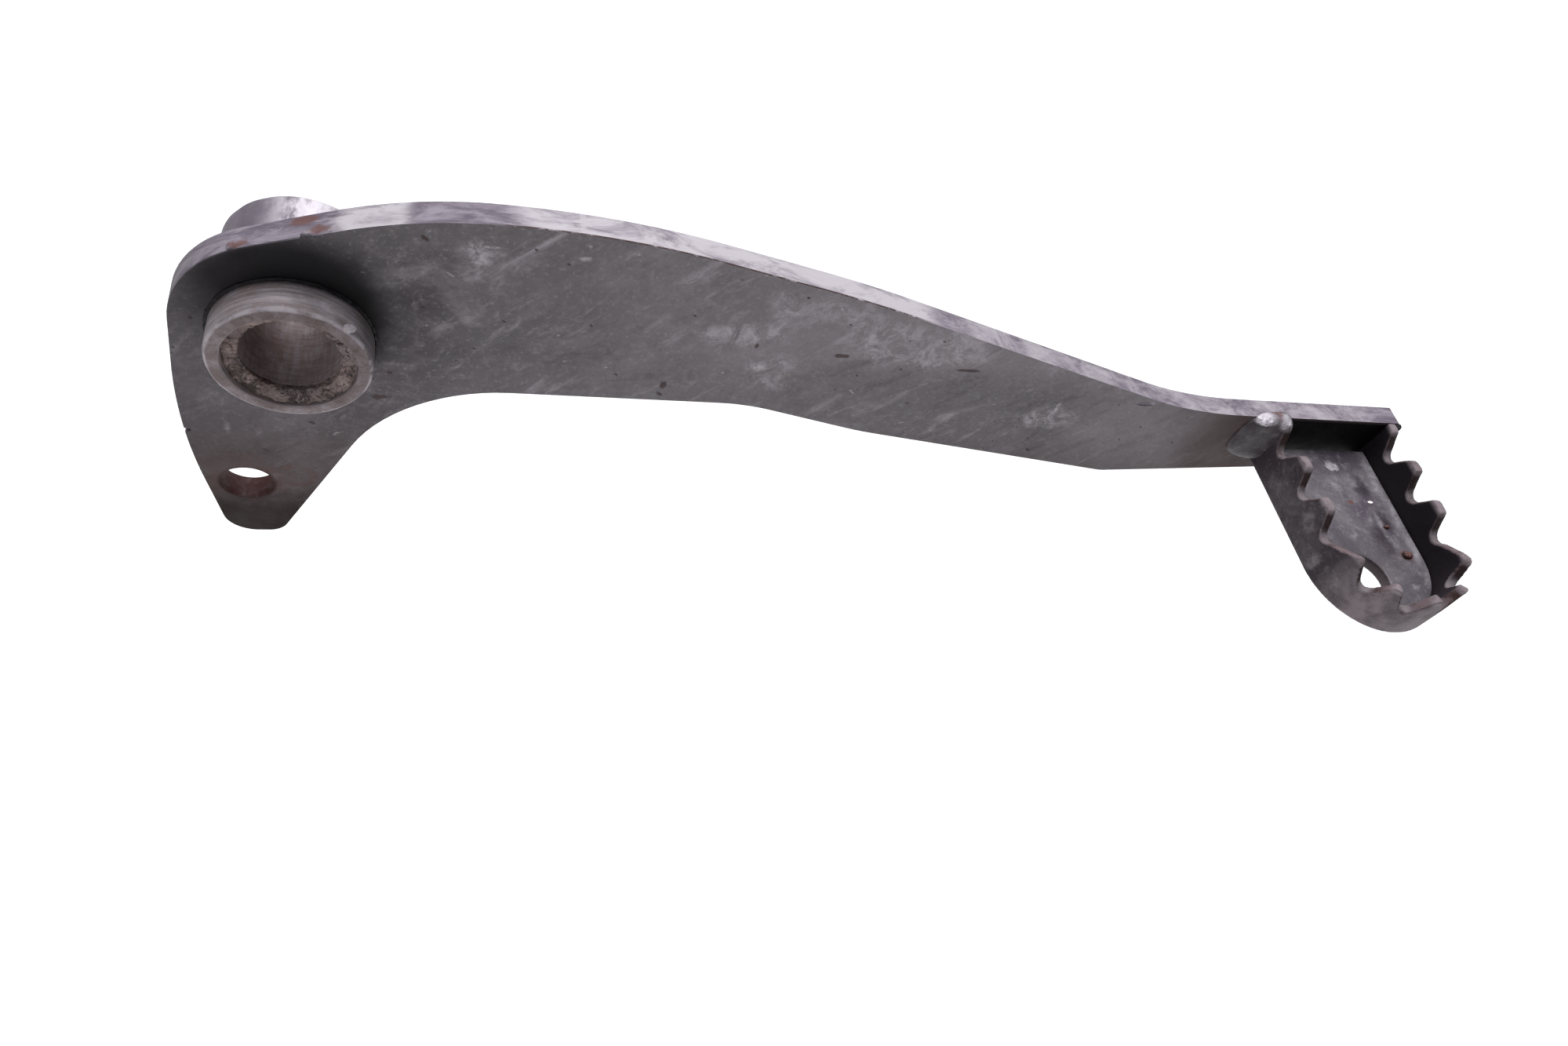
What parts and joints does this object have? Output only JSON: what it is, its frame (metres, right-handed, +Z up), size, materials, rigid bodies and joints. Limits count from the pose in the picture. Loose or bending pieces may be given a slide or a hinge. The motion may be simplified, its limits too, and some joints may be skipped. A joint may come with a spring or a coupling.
{
  "type": "rear brake pedal",
  "caption": "Flat steel rear brake pedal with a pivot boss, a rod hole in its lower ear and a serrated foot tread.",
  "frame": {"origin": "on the pivot bore's axis, half way through the arm's plate", "axes": "+X along the arm from the pivot to the tread, -Y along the pivot bore towards the rider's side, +Z up"},
  "size_m": [0.2686, 0.0705, 0.0874],
  "materials": {
    "arm_steel": "worn dark grey paint, scuffed to bare steel on the edges",
    "boss_steel": "turned steel with worn paint and dirt in the seal's seat",
    "weld_steel": "weld bead, painted over and worn",
    "tread_steel": "worn dark paint with bare brown tooth edges",
    "floor_steel": "worn light grey, scuffed"
  },
  "bodies": {
    "root": {"arm_plate": "arm_steel", "pivot_boss": "boss_steel", "boss_weld_outboard": "weld_steel", "boss_weld_inboard": "weld_steel", "tread_band": "tread_steel", "tread_floor": "floor_steel", "tread_weld_rear": "weld_steel", "tread_weld_tip": "weld_steel", "floor_welds": "weld_steel"}
  },
  "joints": []
}
